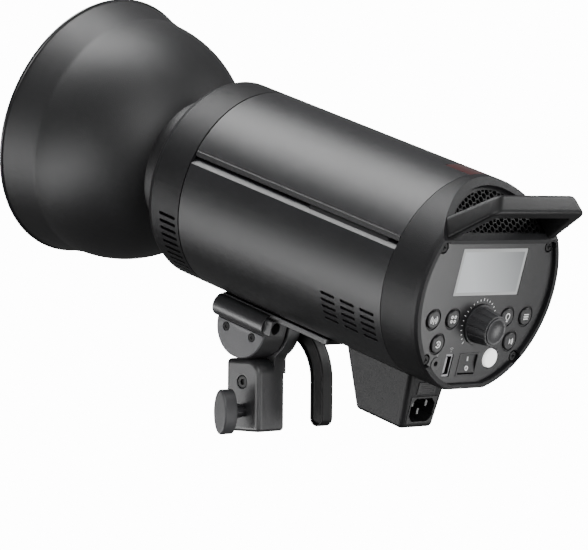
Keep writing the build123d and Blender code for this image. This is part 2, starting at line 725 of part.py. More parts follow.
# ---------------------------------------------------------------- dial
DIAL_BASE = -1.4
DIAL_BASE_R = 13.7
DIAL_TIP = 12.4
DISH_R = 9.2
DISH_DEPTH = 1.8
DISH_BALL_R = 18.0
with BuildPart() as dial_shaft:
    with BuildSketch(across(6.0)):
        with Locations((0, DIAL_Z)):
            Circle(3.0)
    extrude(amount=6.0 + 8.6)
finish(dial_shaft, "dial_shaft", HEAD_POSE)

with BuildPart() as dial_encoder:
    with BuildSketch(across(-5.0)):
        with Locations((0, DIAL_Z)):
            Rectangle(13, 13)
            Circle(3.06, mode=Mode.SUBTRACT)
    extrude(amount=4.4)
    with BuildSketch(across(-9.4)):
        with Locations((0, DIAL_Z)):
            Rectangle(13, 13)
    extrude(amount=1.0)
finish(dial_encoder, "dial_encoder", HEAD_POSE)

with BuildPart() as dial_knob:
    for knob_y, knob_r in ((DIAL_BASE, 12.5), (DIAL_TIP, 10.7)):
        with BuildSketch(across(knob_y)):
            with Locations((0, DIAL_Z)):
                Circle(knob_r)
                with PolarLocations(knob_r + 0.4, 14):
                    Circle(0.9, mode=Mode.SUBTRACT)
    loft(ruled=True)
    with BuildSketch(across(DIAL_BASE)):
        with Locations((0, DIAL_Z)):
            Circle(DIAL_BASE_R)
    extrude(amount=1.4)
    with BuildSketch(across(-3)):
        with Locations((0, DIAL_Z)):
            Circle(3.05)
    extrude(amount=-9.05, mode=Mode.SUBTRACT)
    with BuildSketch(across(DIAL_TIP)):
        with Locations((0, DIAL_Z)):
            Circle(DISH_R + 0.05)
    extrude(amount=2.0, mode=Mode.SUBTRACT)
finish(dial_knob, "dial_knob", HEAD_POSE)

with BuildPart() as dial_cap:
    with BuildSketch(across(DIAL_TIP + 0.9)):
        with Locations((0, DIAL_Z)):
            Circle(DISH_R)
    extrude(amount=2.9)
    with Locations((0, DIAL_TIP + 0.9 + DISH_BALL_R - DISH_DEPTH, DIAL_Z)):
        Sphere(DISH_BALL_R, mode=Mode.SUBTRACT)
finish(dial_cap, "dial_cap", HEAD_POSE)

# ---------------------------------------------------------------- power rocker and sockets
with BuildPart() as rocker_frame:
    with BuildSketch(across(-2.3)):
        with Locations((ROCKER_X, ROCKER_Z)):
            Rectangle(20.2, 16.0)
            Rectangle(17.4, 13.8, mode=Mode.SUBTRACT)
    extrude(amount=7.0)
    with BuildSketch(Plane.YZ.offset(ROCKER_X - 9.2)):
        with Locations((ROCKER_PIVOT_Y, ROCKER_Z)):
            Circle(1.05)
    extrude(amount=18.4, mode=Mode.SUBTRACT)
finish(rocker_frame, "rocker_frame", HEAD_POSE)

with BuildPart() as power_rocker:
    with BuildSketch(Plane.YZ.offset(ROCKER_X - 8.4)):
        with BuildLine(mode=Mode.PRIVATE) as rocker_side:
            Polyline((4.6, 6.2), (3.7, 0), (4.6, -6.2), (0.5, -6.2), (-1.7, -3.5), (-1.7, 3.5), (0.5, 6.2),
                     close=True)
        add(rocker_side.line.moved(Location((ROCKER_PIVOT_Y, ROCKER_Z, 0))))
        make_face()
    extrude(amount=16.8)
    with BuildSketch(Plane.YZ.offset(ROCKER_X - 9.1)):
        with Locations((ROCKER_PIVOT_Y, ROCKER_Z)):
            Circle(1.0)
    extrude(amount=18.2)
rocker_axis = Axis((0, ROCKER_PIVOT_Y, ROCKER_Z), (1, 0, 0))
power_rocker.part = power_rocker.part.rotate(rocker_axis, ROCKER_TILT)
finish(power_rocker, "power_rocker", HEAD_POSE)

with BuildPart() as usb_port:
    with BuildSketch(across(-3.2)):
        with Locations((USB_X, USB_Z)):
            Rectangle(7.2, 15.4)
            Rectangle(5.0, 12.6, mode=Mode.SUBTRACT)
    extrude(amount=6.2)
    with BuildSketch(across(-8.6)):
        with Locations((USB_X, USB_Z)):
            Rectangle(5.0, 12.6)
    extrude(amount=0.8)
    with BuildSketch(across(-4.0)):
        with Locations((USB_X + 1.0, USB_Z)):
            Rectangle(1.6, 10.6)
    extrude(amount=5.0)
finish(usb_port, "usb_port", HEAD_POSE)

JACK_MOUTH = -2.2
JACK_DEPTH = 6.0
with BuildPart() as sync_jack:
    with BuildSketch(across(JACK_MOUTH)):
        with Locations((JACK_X, JACK_Z)):
            Circle(JACK_FLANGE_R)
    extrude(amount=JACK_MOUTH - PANEL_LEDGE)
    with BuildSketch(across(PANEL_LEDGE)):
        with Locations((JACK_X, JACK_Z)):
            Circle(3.0)
    extrude(amount=PANEL_LEDGE - BOARD_Y - 0.05)
    with BuildSketch(across(JACK_MOUTH)):
        with Locations((JACK_X, JACK_Z)):
            Circle(JACK_R)
    extrude(amount=JACK_DEPTH, mode=Mode.SUBTRACT)
finish(sync_jack, "sync_jack", HEAD_POSE)

# ---------------------------------------------------------------- mains inlet
INLET_TOP = -66.0
C14_Z = -93.2
C14_FLOOR = -46.5
DRAWER_Z = -77.9
with BuildPart() as inlet_housing:
    with BuildSketch(Plane.XY.offset(INLET_TOP)):
        with Locations((0, (INLET_REAR - 91.5) / 2)):
            RectangleRounded(41.6, 91.5 + INLET_REAR, 4)
    with BuildSketch(Plane.XY.offset(INLET_BOTTOM)):
        with Locations((0, (INLET_REAR - 73.2) / 2)):
            RectangleRounded(33.0, 73.2 + INLET_REAR, 4)
    loft(ruled=True)
    fillet(inlet_housing.faces().sort_by(Axis.Z)[0].edges(), 3.5)
    with BuildSketch(across(0)):
        Circle(BARREL_R + 0.05)
    extrude(amount=120, mode=Mode.SUBTRACT)
    with BuildSketch(across(INLET_REAR + 1)):
        with Locations((0, C14_Z)):
            Rectangle(26.6, 19.0)
    extrude(amount=18.6, mode=Mode.SUBTRACT)
    with BuildSketch(across(INLET_REAR + 1)):
        with Locations((0, DRAWER_Z)):
            Rectangle(18.6, 8.4)
    extrude(amount=25.6, mode=Mode.SUBTRACT)
    with BuildSketch(across(-49)):
        with Locations((0, -94)):
            Rectangle(22, 14)
    extrude(amount=18, mode=Mode.SUBTRACT)
finish(inlet_housing, "inlet_housing", HEAD_POSE)

with BuildPart() as power_inlet:
    with BuildSketch(across(INLET_REAR + 0.4)):
        with Locations((0, C14_Z)):
            Rectangle(26.4, 18.8)
    extrude(amount=17.9)
    with BuildSketch(across(INLET_REAR + 0.4)) as inlet_mouth:
        with Locations((0, C14_Z)):
            Rectangle(24.0, 16.4)
        chamfer(inlet_mouth.vertices().group_by(Axis.Z)[0], 4.0)
    extrude(amount=INLET_REAR + 0.4 - C14_FLOOR, mode=Mode.SUBTRACT)
finish(power_inlet, "power_inlet", HEAD_POSE)

with BuildPart() as inlet_pins:
    with BuildSketch(across(C14_FLOOR)):
        with Locations((7, -89.6), (-7, -89.6), (0, -95.2)):
            Rectangle(2.0, 4.0)
    extrude(amount=-12.5)
finish(inlet_pins, "inlet_pins", HEAD_POSE)

with BuildPart() as fuse_drawer:
    with BuildSketch(across(INLET_REAR + 0.5)):
        with Locations((0, DRAWER_Z)):
            Rectangle(18.2, 8.0)
    extrude(amount=24.0)
    with BuildSketch(across(INLET_REAR - 1.8)):
        with Locations((0, DRAWER_Z + 0.4)):
            Circle(2.7)
        with Locations((0, DRAWER_Z + 3)):
            Rectangle(5.4, 5.2)
    extrude(amount=20.3, mode=Mode.SUBTRACT)
    with BuildSketch(across(INLET_REAR + 0.5)):
        with Locations(*[(0, DRAWER_Z + 1.5 * rib) for rib in (-2, -1, 0, 1, 2)]):
            Rectangle(15, 0.6)
    extrude(amount=0.4, mode=Mode.SUBTRACT)
finish(fuse_drawer, "fuse_drawer", HEAD_POSE)

with BuildPart() as fuse:
    with BuildSketch(across(INLET_REAR - 1.95)):
        with Locations((0, DRAWER_Z + 0.4)):
            Circle(2.6)
    extrude(amount=20.0)
finish(fuse, "fuse", HEAD_POSE)

# ---------------------------------------------------------------- inside the barrel
TRAY_TOP = -44.0
BOARD_TOP = -28.4
BOARD_POSTS = [(x, y) for x in (-40, 40) for y in (-195, -80)]
with BuildPart() as chassis:
    with BuildSketch(across(-46)):
        with Locations((0, TRAY_TOP - 1)):
            Rectangle(100, 2)
        with Locations((14, TRAY_TOP - 14), (-14, TRAY_TOP - 14)):
            Rectangle(9, 26)
        Circle(BARREL_R - BARREL_WALL - 0.05, mode=Mode.INTERSECT)
    extrude(amount=166)
    with BuildSketch(Plane.XY.offset(-72)):
        with Locations(*BRACKET_SCREWS):
            Circle(2.05)
    extrude(amount=12, mode=Mode.SUBTRACT)
    with BuildSketch(Plane.XY.offset(TRAY_TOP)):
        with Locations(*BOARD_POSTS):
            RegularPolygon(3.2, 6)
    extrude(amount=BOARD_TOP - 1.6 - TRAY_TOP)
finish(chassis, "chassis", HEAD_POSE)

with BuildPart() as main_board:
    with BuildSketch(Plane.XY.offset(BOARD_TOP - 1.6)):
        with Locations((0, -138)):
            Rectangle(92, 124)
    extrude(amount=1.6)
finish(main_board, "main_board", HEAD_POSE)

with BuildPart() as flash_capacitors:
    with BuildSketch(Plane.XY.offset(BOARD_TOP)):
        with Locations(*[(x, y) for x in (-17.5, 17.5) for y in (-180, -144)]):
            Circle(15.5)
    extrude(amount=58)
    fillet(flash_capacitors.faces().group_by(Axis.Z)[-1].edges(), 2.0)
finish(flash_capacitors, "flash_capacitors", HEAD_POSE)

with BuildPart() as fan_housing:
    with BuildSketch(across(FAN_Y + 10)):
        with Locations((0, FAN_Z)):
            RectangleRounded(80, 80, 4)
            Circle(37.5, mode=Mode.SUBTRACT)
    extrude(amount=20)
    with BuildSketch(across(FAN_Y - 7.5)):
        with Locations((0, FAN_Z)):
            Circle(15)
            Rectangle(78, 4)
            Rectangle(4, 78)
    extrude(amount=2.5)
finish(fan_housing, "fan_housing", HEAD_POSE)

with BuildPart() as fan_rotor:
    with BuildSketch(across(FAN_Y + 8)):
        with Locations((0, FAN_Z)):
            Circle(15)
    extrude(amount=15)
    for blade in range(7):
        turn = 360 / 7 * blade
        along = (cos(radians(turn)), 0, sin(radians(turn)))
        lean = Vector(-along[2] * 0.6, 0.8, along[0] * 0.6)
        root = Plane(origin=Vector(0, FAN_Y + 0.6, FAN_Z) + Vector(*along) * 14, x_dir=lean, z_dir=along)
        with BuildSketch(root):
            Rectangle(14, 1.5)
        extrude(amount=21.5)
finish(fan_rotor, "fan_rotor", HEAD_POSE)

# ---------------------------------------------------------------- lamp end
LAMP_BASE_FRONT = -243.9
DOME_R = 38.0
DOME_CENTRE = -268.0
with BuildPart() as lamp_base:
    with BuildSketch(across(LAMP_BASE_FRONT + 3.4)):
        Circle(65.2)
    extrude(amount=3.4)
finish(lamp_base, "lamp_base", HEAD_POSE)

with BuildPart() as bayonet_ring:
    with BuildSketch(across(LAMP_BASE_FRONT)):
        Circle(60.1)
        Circle(50.2, mode=Mode.SUBTRACT)
    extrude(amount=13.6)
    chamfer(bayonet_ring.faces().sort_by(Axis.Y)[0].edges(), 0.8)
finish(bayonet_ring, "bayonet_ring", HEAD_POSE)

with BuildPart() as glass_dome:
    with BuildSketch(Plane.XY):
        with BuildLine():
            Line((DOME_R - 2, LAMP_BASE_FRONT), (DOME_R, LAMP_BASE_FRONT))
            Line((DOME_R, LAMP_BASE_FRONT), (DOME_R, DOME_CENTRE))
            CenterArc((0, DOME_CENTRE), DOME_R, -90, 90)
            Line((0, DOME_CENTRE - DOME_R), (0, DOME_CENTRE - DOME_R + 2))
            CenterArc((0, DOME_CENTRE), DOME_R - 2, -90, 90)
            Line((DOME_R - 2, DOME_CENTRE), (DOME_R - 2, LAMP_BASE_FRONT))
        make_face()
    revolve(axis=Axis.Y)
finish(glass_dome, "glass_dome", HEAD_POSE)

TUBE_RING_Y = -262.0
TUBE_RING_R = 27.0
with BuildPart() as flash_tube:
    with BuildSketch(Plane.XY):
        with Locations((TUBE_RING_R, TUBE_RING_Y)):
            Circle(3.6)
    revolve(axis=Axis.Y, revolution_arc=330)
    with BuildSketch(across(TUBE_RING_Y)):
        with Locations((TUBE_RING_R, 0), (TUBE_RING_R * cos(radians(330)), TUBE_RING_R * sin(radians(30)))):
            Circle(3.6)
    extrude(amount=TUBE_RING_Y - LAMP_BASE_FRONT)
finish(flash_tube, "flash_tube", HEAD_POSE)

with BuildPart() as lamp_socket:
    with BuildSketch(across(LAMP_BASE_FRONT)):
        Circle(12.0)
    extrude(amount=14.0)
finish(lamp_socket, "lamp_socket", HEAD_POSE)

with BuildPart() as modelling_lamp:
    with BuildSketch(across(LAMP_BASE_FRONT - 14)):
        Circle(8.0)
    extrude(amount=6.0)
    with BuildSketch(across(LAMP_BASE_FRONT - 20)):
        Circle(6.5)
    extrude(amount=22.0)
    fillet(modelling_lamp.faces().sort_by(Axis.Y)[0].edges(), 5.0)
finish(modelling_lamp, "modelling_lamp", HEAD_POSE)


def bowl_edge(shift):
    """Line of the reflector's wall from its neck to its mouth, drawn that far inside."""
    bowl_r = 88.0 - shift
    neck_r = NECK_R - shift
    bowl_centre = -350.0
    start = bowl_centre + sqrt(bowl_r**2 - neck_r**2)
    with BuildLine() as edge:
        Line((neck_r, -250.5), (neck_r, start))
        ThreePointArc((neck_r, start), circle_point((0, bowl_centre), bowl_r, 27), (bowl_r, bowl_centre))
        Line((bowl_r, bowl_centre), (REFLECTOR_R - shift, REFLECTOR_MOUTH))
    return edge.line


with BuildPart() as reflector:
    with BuildSketch(Plane.XY):
        with BuildLine():
            add(bowl_edge(0))
            add(bowl_edge(REFLECTOR_WALL))
            Line((NECK_R, -250.5), (NECK_R - REFLECTOR_WALL, -250.5))
            Line((REFLECTOR_R, REFLECTOR_MOUTH), (REFLECTOR_R - REFLECTOR_WALL, REFLECTOR_MOUTH))
        make_face()
        with Locations((REFLECTOR_R - 0.3, REFLECTOR_MOUTH - 0.4)):
            Circle(1.5)
    revolve(axis=Axis.Y)
finish(reflector, "reflector", HEAD_POSE)
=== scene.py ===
import json
import math
import bmesh
import bpy
from mathutils import Matrix, Vector


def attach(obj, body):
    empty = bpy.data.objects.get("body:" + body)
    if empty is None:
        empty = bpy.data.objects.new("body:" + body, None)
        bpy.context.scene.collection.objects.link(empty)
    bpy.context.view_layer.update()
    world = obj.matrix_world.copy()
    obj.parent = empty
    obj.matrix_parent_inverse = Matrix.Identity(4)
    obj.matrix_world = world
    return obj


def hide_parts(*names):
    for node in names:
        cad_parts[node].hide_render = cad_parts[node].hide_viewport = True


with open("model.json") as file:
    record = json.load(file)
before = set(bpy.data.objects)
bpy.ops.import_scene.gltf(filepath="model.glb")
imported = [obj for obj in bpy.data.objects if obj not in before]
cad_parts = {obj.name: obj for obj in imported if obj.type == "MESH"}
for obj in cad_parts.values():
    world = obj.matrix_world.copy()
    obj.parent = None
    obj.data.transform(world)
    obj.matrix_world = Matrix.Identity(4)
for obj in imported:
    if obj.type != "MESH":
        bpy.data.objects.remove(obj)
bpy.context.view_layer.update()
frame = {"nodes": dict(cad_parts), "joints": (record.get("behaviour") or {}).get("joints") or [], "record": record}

NODES = frame["nodes"]
BODY = {n: b for b, members in frame["record"]["behaviour"]["bodies"].items() for n in members}
SLOT = {s["node"]: s["material_slot"] for s in frame["record"]["subparts"]}
MM = 0.001
HINGE = next(j for j in frame["joints"] if j["name"] == "head_tilt")["pos_m"]

# The head's own frame, in millimetres: origin at the middle of the barrel's rear rim, +Y to the rear along
# the barrel's axis, +Z up. All of the head's sizes below are in it.
HEAD_PITCH = -17.0                       # degrees, at rest
HINGE_TO_RIM = (0, 0.1843, 0.0862)       # metres, along the pitched head
HEAD = (
    Matrix.Translation(HINGE)
    @ Matrix.Rotation(math.radians(HEAD_PITCH), 4, "X")
    @ Matrix.Translation(HINGE_TO_RIM)
    @ Matrix.Scale(MM, 4)
)


# ------------------------------------------------------------------ materials
BUMP_DEPTH = 0.0006                      # metres that the bump texture stands for
ROUGH_SPREAD = 0.06                      # how far roughness wanders to each side of its value


def material(name, base, rough, metal=0.0, grain=900.0, bump=0.02, vary=0.12, edge=0.0, mottle=30.0,
             coat=0.0, spec=0.5, alpha=1.0):
    """Material with fine grain in its roughness and bump, broad mottling in its colour, and soft edges."""
    mat = bpy.data.materials.new(name)
    mat.use_nodes = True
    nodes, link = mat.node_tree.nodes, mat.node_tree.links
    shader = nodes["Principled BSDF"]
    shader.inputs["Metallic"].default_value = metal
    shader.inputs["Specular IOR Level"].default_value = spec
    shader.inputs["Coat Weight"].default_value = coat
    shader.inputs["Coat Roughness"].default_value = 0.15
    shader.inputs["Alpha"].default_value = alpha
    coords = nodes.new("ShaderNodeTexCoord")
    fine = nodes.new("ShaderNodeTexNoise")
    fine.inputs["Scale"].default_value = grain
    fine.inputs["Detail"].default_value = 3.0
    broad = nodes.new("ShaderNodeTexNoise")
    broad.inputs["Scale"].default_value = mottle
    broad.inputs["Detail"].default_value = 4.0
    for noise in (fine, broad):
        link.new(coords.outputs["Object"], noise.inputs["Vector"])
    ramp = nodes.new("ShaderNodeValToRGB")
    dark, light = ramp.color_ramp.elements
    dark.position, light.position = 0.3, 0.7
    dark.color = (*[c * (1 - vary) for c in base], 1)
    light.color = (*[min(1, c * (1 + vary)) for c in base], 1)
    link.new(broad.outputs["Fac"], ramp.inputs["Fac"])
    link.new(ramp.outputs["Color"], shader.inputs["Base Color"])
    spread = nodes.new("ShaderNodeMapRange")
    spread.inputs["To Min"].default_value = max(0.02, rough - ROUGH_SPREAD)
    spread.inputs["To Max"].default_value = min(1, rough + ROUGH_SPREAD)
    link.new(fine.outputs["Fac"], spread.inputs["Value"])
    link.new(spread.outputs["Result"], shader.inputs["Roughness"])
    relief = nodes.new("ShaderNodeBump")
    relief.inputs["Strength"].default_value = bump
    relief.inputs["Distance"].default_value = BUMP_DEPTH
    link.new(fine.outputs["Fac"], relief.inputs["Height"])
    if edge:
        bevel = nodes.new("ShaderNodeBevel")
        bevel.samples = 6
        bevel.inputs["Radius"].default_value = edge
        link.new(bevel.outputs["Normal"], relief.inputs["Normal"])
    link.new(relief.outputs["Normal"], shader.inputs["Normal"])
    return mat


# one look for each material slot of the record
SLOT_LOOKS = {
    "cast_metal": dict(base=(0.026, 0.026, 0.028), rough=0.38, grain=1500, bump=0.25, edge=0.0009,
                       spec=0.85),
    "cover_metal": dict(base=(0.13, 0.13, 0.135), rough=0.45, grain=1500, bump=0.2, edge=0.0004),
    "steel": dict(base=(0.10, 0.10, 0.105), rough=0.34, metal=0.9, edge=0.0003, bump=0.05),
    "bright_screw": dict(base=(0.10, 0.10, 0.105), rough=0.30, metal=1.0, edge=0.0003, bump=0.03),
    "black_screw": dict(base=(0.03, 0.03, 0.03), rough=0.4, metal=0.6, edge=0.0003, bump=0.05),
    "friction_plastic": dict(base=(0.03, 0.03, 0.03), rough=0.6, bump=0.1),
    "knob_plastic": dict(base=(0.045, 0.045, 0.048), rough=0.38, bump=0.12, edge=0.0008),
    "barrel_paint": dict(base=(0.013, 0.013, 0.0145), rough=0.37, grain=2600, bump=0.28, edge=0.0003),
    "collar_plastic": dict(base=(0.010, 0.010, 0.011), rough=0.45, grain=1800, bump=0.32, edge=0.0004,
                           spec=0.26),
    "rail_plastic": dict(base=(0.010, 0.010, 0.011), rough=0.42, grain=1800, bump=0.15, edge=0.0003),
    "panel_plastic": dict(base=(0.012, 0.012, 0.013), rough=0.30, grain=2400, bump=0.12, edge=0.0003),
    "display_glass": dict(base=(0.45, 0.46, 0.46), rough=0.2, coat=0.6, bump=0.01, vary=0.04),
    "display_back": dict(base=(0.20, 0.22, 0.21), rough=0.5, bump=0.1),
    "sensor_red": dict(base=(0.05, 0.005, 0.006), rough=0.16, coat=0.5, bump=0.01),
    "button_plastic": dict(base=(0.012, 0.012, 0.013), rough=0.42, grain=2200, bump=0.15, edge=0.0004),
    "test_white": dict(base=(0.82, 0.82, 0.80), rough=0.3, bump=0.02, edge=0.0004, vary=0.03),
    "dial_plastic": dict(base=(0.026, 0.026, 0.028), rough=0.45, bump=0.12, edge=0.0003),
    "dial_cap": dict(base=(0.032, 0.032, 0.034), rough=0.38, bump=0.05, edge=0.0003),
    "switch_plastic": dict(base=(0.012, 0.012, 0.013), rough=0.3, bump=0.08, edge=0.0003),
    "socket_metal": dict(base=(0.5, 0.5, 0.5), rough=0.25, metal=1.0, edge=0.0002, bump=0.03),
    "board": dict(base=(0.02, 0.10, 0.045), rough=0.4, mottle=220, vary=0.4, bump=0.1),
    "board_part": dict(base=(0.03, 0.035, 0.07), rough=0.35, bump=0.05),
    "chassis_metal": dict(base=(0.5, 0.5, 0.5), rough=0.35, metal=1.0, bump=0.08),
    "fan_plastic": dict(base=(0.015, 0.015, 0.015), rough=0.5, bump=0.1),
    "ring_metal": dict(base=(0.12, 0.12, 0.125), rough=0.35, metal=0.9, bump=0.05, edge=0.0004),
    "dome_glass": dict(base=(0.85, 0.87, 0.86), rough=0.45, bump=0.15, alpha=0.55, vary=0.05),
    "tube_glass": dict(base=(0.9, 0.9, 0.88), rough=0.12, bump=0.02, alpha=0.5, vary=0.05),
    "ceramic": dict(base=(0.75, 0.74, 0.70), rough=0.5, bump=0.1),
    "reflector_paint": dict(base=(0.009, 0.009, 0.010), rough=0.52, grain=2200, bump=0.2),
}
# looks of the marks, and of single pieces that differ from the rest of their slot
PIECE_LOOKS = {
    "reflector_silver": dict(base=(0.72, 0.72, 0.73), rough=0.32, metal=1.0, grain=260, bump=0.5, vary=0.06),
    "reflector_lip": dict(base=(0.008, 0.008, 0.009), rough=0.3, bump=0.08),
    "print_white": dict(base=(0.90, 0.90, 0.90), rough=0.5, bump=0.05, vary=0.03),
    "print_dim": dict(base=(0.34, 0.34, 0.34), rough=0.55, bump=0.05),
    "handle_plastic": dict(base=(0.006, 0.006, 0.0065), rough=0.42, grain=1800, bump=0.25, spec=0.32),
    "usb_metal": dict(base=(0.24, 0.24, 0.245), rough=0.3, metal=1.0, edge=0.0002, bump=0.03),
    "pin_metal": dict(base=(0.22, 0.22, 0.22), rough=0.3, metal=1.0, bump=0.03),
    "notch_black": dict(base=(0.006, 0.006, 0.0065), rough=0.5, bump=0.05, edge=0.0003, spec=0.3),
    "lever_paint": dict(base=(0.005, 0.005, 0.0055), rough=0.42, grain=1500, bump=0.25, edge=0.0007,
                        spec=0.32),
    "socket_dark": dict(base=(0.02, 0.02, 0.021), rough=0.35, bump=0.05, edge=0.0002),
    # painted shade: the black of the liners and the button seats, standing in for shade in hollows
    "shade_black": dict(base=(0.005, 0.005, 0.006), rough=0.6, bump=0.1),
    "screen_face": dict(base=(0.56, 0.585, 0.60), rough=0.30, coat=0.4, bump=0.01, vary=0.03, mottle=18),
}
MATS = {name: material(name, **look) for name, look in (SLOT_LOOKS | PIECE_LOOKS).items()}


def paint_shade_ramp(mat, direction, start, end, low):
    """Paint shade into a material's colour: darken it along a direction of the shared frame, from full at start to
    low at end.
    """
    nodes, link = mat.node_tree.nodes, mat.node_tree.links
    colour = nodes["Principled BSDF"].inputs["Base Color"]
    source = colour.links[0].from_socket
    along = nodes.new("ShaderNodeVectorMath")
    along.operation = "DOT_PRODUCT"
    along.inputs[1].default_value = direction
    link.new(nodes["Texture Coordinate"].outputs["Object"], along.inputs[0])
    spread = nodes.new("ShaderNodeMapRange")
    spread.inputs["From Min"].default_value = start
    spread.inputs["From Max"].default_value = end
    spread.inputs["To Min"].default_value = 1.0
    spread.inputs["To Max"].default_value = low
    link.new(along.outputs["Value"], spread.inputs["Value"])
    scaled = nodes.new("ShaderNodeVectorMath")
    scaled.operation = "SCALE"
    link.new(source, scaled.inputs[0])
    link.new(spread.outputs["Result"], scaled.inputs["Scale"])
    link.new(scaled.outputs["Vector"], colour)


# painted shade: the pale screen darkens across its face, standing in for the uneven light on it
paint_shade_ramp(MATS["screen_face"], direction=(-1, 0, 0.6), start=0.050, end=0.112, low=0.30)

# painted light: the white test button glows, so that it keeps its brightness in the panel's shade
TEST_PAINTED_GLOW = 1.3
test_shader = MATS["test_white"].node_tree.nodes["Principled BSDF"]
test_shader.inputs["Emission Color"].default_value = (1, 1, 1, 1)
test_shader.inputs["Emission Strength"].default_value = TEST_PAINTED_GLOW


# ------------------------------------------------------------------ painting the CAD pieces
def paint(obj, *mats):
    """Give an object these materials. Only a filled list is cleared: clear() puts every face back to 0."""
    if len(obj.data.materials):
        obj.data.materials.clear()
    for mat in mats:
        obj.data.materials.append(mat)


def smooth(obj, angle=32):
    """Shade smooth, with edges sharper than the angle left sharp."""
    obj.data.polygons.foreach_set("use_smooth", [True] * len(obj.data.polygons))
    obj.data.set_sharp_from_angle(angle=math.radians(angle))


# nodes finished unlike the rest of their slot
FINISH = {
    "tilt_lever": "lever_paint",
    "lever_cap": "lever_paint",
    "sync_jack": "socket_dark",
    "fuse_drawer": "socket_dark",
    "inlet_pins": "pin_metal",
    "panel_screws": "notch_black",
    "vent_grille": "notch_black",
    "cover_screws": "notch_black",
    "socket_screw": "black_screw",
    "usb_port": "usb_metal",
}


def finish(node):
    return MATS[FINISH.get(node, SLOT[node])]


for node, obj in NODES.items():
    paint(obj, finish(node))
    smooth(obj)


def new_piece(name, bm, body, mats, replaces=(), shade=35):
    """Make a piece of the bmesh, riding a body; it replaces the CAD nodes named."""
    mesh = bpy.data.meshes.new(name)
    bmesh.ops.recalc_face_normals(bm, faces=bm.faces)
    bm.to_mesh(mesh)
    bm.free()
    piece = bpy.data.objects.new(name, mesh)
    bpy.context.scene.collection.objects.link(piece)
    paint(piece, *mats)
    smooth(piece, shade)
    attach(piece, body)
    if replaces:
        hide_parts(*replaces)
    return piece


# ------------------------------------------------------------------ rounded copies of CAD pieces
SOFT_ANGLE = 40                          # degrees; sharper edges are rounded
PLANAR = 1.0                             # degrees; flatter edges are dissolved first


def soften(node, width, segments):
    """Piece with the CAD node's shape and its sharp edges rounded, width in millimetres."""
    bm = bmesh.new()
    bm.from_mesh(NODES[node].data)
    bmesh.ops.remove_doubles(bm, verts=bm.verts, dist=1e-5)
    bmesh.ops.dissolve_limit(bm, angle_limit=math.radians(PLANAR), verts=bm.verts, edges=bm.edges)
    piece = new_piece(node + "_soft", bm, BODY[node], [finish(node)], [node])
    rounding = piece.modifiers.new("round", "BEVEL")
    rounding.width = width * MM
    rounding.segments = segments
    rounding.limit_method = "ANGLE"
    rounding.angle_limit = math.radians(SOFT_ANGLE)
    rounding.use_clamp_overlap = True
    rounding.harden_normals = False


soften("tilt_lever", 1.6, 4)
soften("hinge_cover", 0.4, 2)
soften("dial_cap", 0.3, 2)


# ------------------------------------------------------------------ pieces turned about the barrel's axis
def lathe(name, profile, body, mats, picks, replaces, turns):
    """Turn a closed outline of (radius, y) points; picks gives each side's material."""
    bm = bmesh.new()
    rings = []
    for k in range(turns):
        a = 2 * math.pi * k / turns
        points = [Vector((r * math.cos(a), y, r * math.sin(a))) for r, y in profile]
        rings.append([bm.verts.new(HEAD @ point) for point in points])
    count = len(profile)
    for k in range(turns):
        here, there = rings[k], rings[(k + 1) % turns]
        for i in range(count):
            j = (i + 1) % count
            face = bm.faces.new((here[i], here[j], there[j], there[i]))
            face.material_index = picks[i]
    new_piece(name, bm, body, mats, replaces, 40)


def arc(cx, cy, r, a0, a1, steps):
    """Points of an arc from angle a0 to a1, in degrees."""
    angles = [math.radians(a0 + (a1 - a0) * i / steps) for i in range(steps + 1)]
    return [(cx + r * math.cos(a), cy + r * math.sin(a)) for a in angles]


# the reflector's outside: a straight neck, a quarter round and a short flare to the mouth
NECK_R, BOWL_R, MOUTH_R = 49.4, 88.0, 93.8
NECK_REAR, NECK_FRONT, BOWL_Y, MOUTH_Y = -250.5, -262.0, -350.0, -377.1
FLARE_OUT, FLARE_ON = 0.4, 1.2           # where the flare leaves the round
WALL = 1.3
LIP_IN, LIP_ON, LIP_R = 0.4, 0.3, 1.55   # the rolled lip's centre from the mouth, and its radius


def bowl(shift):
    """Outline of the bowl from neck to mouth, its radii made smaller by shift."""
    radius = BOWL_R - shift
    start = math.degrees(math.acos((NECK_R - shift) / radius))
    neck = [(NECK_R - shift, NECK_REAR), (NECK_R - shift, NECK_FRONT)]
    flare = [(radius + FLARE_OUT, BOWL_Y - FLARE_ON), (MOUTH_R - shift, MOUTH_Y)]
    return neck + arc(0, BOWL_Y, radius, start, 0, 30) + flare


outer = bowl(0)
inner = bowl(WALL)
lip = arc(MOUTH_R - LIP_IN, MOUTH_Y - LIP_ON, LIP_R, 75, -160, 10)
lathe(
    "reflector_bowl",
    outer + lip + inner[::-1],
    "reflector",
    [MATS["reflector_paint"], MATS["reflector_lip"], MATS["reflector_silver"]],
    [0] * len(outer) + [1] * len(lip) + [2] * len(inner),
    ["reflector"],
    192,
)

# painted shade: black liners behind the barrel's vents and the collar's slots stand in for the shade inside, so
# that nothing shows through them
LINER_WALL = 0.2
LINERS = (
    # name, radius, rear end, front end, slot
    ("vent_liner", 68.9, -41.0, -112.0, "barrel_paint"),
    ("slot_liner", 65.5, -216.0, -245.0, "collar_plastic"),
)
for name, radius, rear, front, slot in LINERS:
    back = radius - LINER_WALL
    outline = [(radius, front), (radius, rear), (back, rear), (back, front)]
    lathe(name, outline, "head", [MATS["shade_black"]], [0] * len(outline), (), 96)


# ------------------------------------------------------------------ carrying handle with rounded edges
REACH = 37.0                             # from the collar to the grip's outer edge, along the slope
GRIP_T = 8.6                             # width of the bar that the handle is bent from
SLOPE = 36.0                             # degrees that the handle leans back
ROOT_Z = 35.5                            # height of its foot above the axis
BEND_OUT, BEND_IN = 9.0, 5.0             # radii of its two bends, outside and inside
BEND_STEPS = 10
